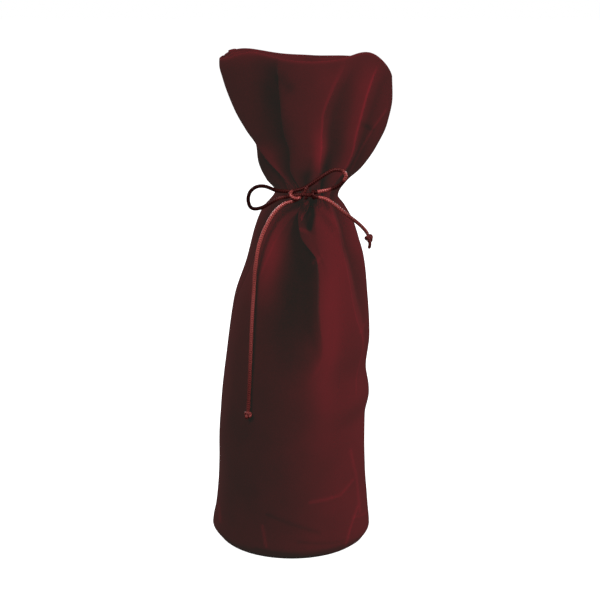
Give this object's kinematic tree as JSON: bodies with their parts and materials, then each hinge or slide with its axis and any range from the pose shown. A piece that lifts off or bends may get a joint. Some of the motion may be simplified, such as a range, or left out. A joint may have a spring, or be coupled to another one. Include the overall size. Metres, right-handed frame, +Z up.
{
  "type": "wine gift bag",
  "caption": "Tall round-based velvet gift bag for a wine bottle, gathered at the neck under a ruffled mouth and tied at the front with a satin cord bow with knotted tails.",
  "frame": {"origin": "on the ground below the middle of the whole bag's bounding box; the bag leans a little, so the middle of its base is 7 mm to the left (-X)", "axes": "+Z up from the base to the mouth, -Y towards the front, where the bow is, +X to the right as the front is looked at"},
  "size_m": [0.1392, 0.1254, 0.3826],
  "materials": {
    "velvet": "dark burgundy velvet with a short soft pile",
    "facing": "the same burgundy velvet, turned in",
    "satin_cord": "glossy burgundy satin braid",
    "thread": "matte burgundy sewing thread",
    "board": "plain grey board"
  },
  "bodies": {
    "bag": {"front_panel": "velvet", "back_panel": "velvet", "base_panel": "velvet", "base_board": "board", "front_facing": "facing", "back_facing": "facing", "left_seam_thread": "thread", "right_seam_thread": "thread", "base_seam_thread": "thread", "upper_channel_thread": "thread", "lower_channel_thread": "thread", "neck_cord": "satin_cord", "bow_knot": "satin_cord"},
    "left_loop": {"left_loop": "satin_cord"},
    "right_loop": {"right_loop": "satin_cord"},
    "left_tail": {"left_tail": "satin_cord", "left_end_knot": "satin_cord"},
    "right_tail": {"right_tail": "satin_cord", "right_end_knot": "satin_cord"}
  },
  "joints": [
    {"name": "left_loop_lift", "type": "hinge", "parent": "bag", "child": "left_loop", "pos_m": [-0.0065, -0.0338, 0.2814], "axis": [0, 0, 1], "range_deg": [0, 60]},
    {"name": "right_loop_lift", "type": "hinge", "parent": "bag", "child": "right_loop", "pos_m": [0.007, -0.034, 0.2842], "axis": [0.4202, 0, -0.9074], "range_deg": [0, 60]},
    {"name": "left_tail_lift", "type": "hinge", "parent": "bag", "child": "left_tail", "pos_m": [-0.005, -0.0362, 0.2755], "axis": [-0.9798, 0, 0.2], "range_deg": [0, 50]},
    {"name": "right_tail_lift", "type": "hinge", "parent": "bag", "child": "right_tail", "pos_m": [0.0115, -0.0345, 0.2795], "axis": [-0.6198, 0, -0.7848], "range_deg": [0, 60]}
  ]
}
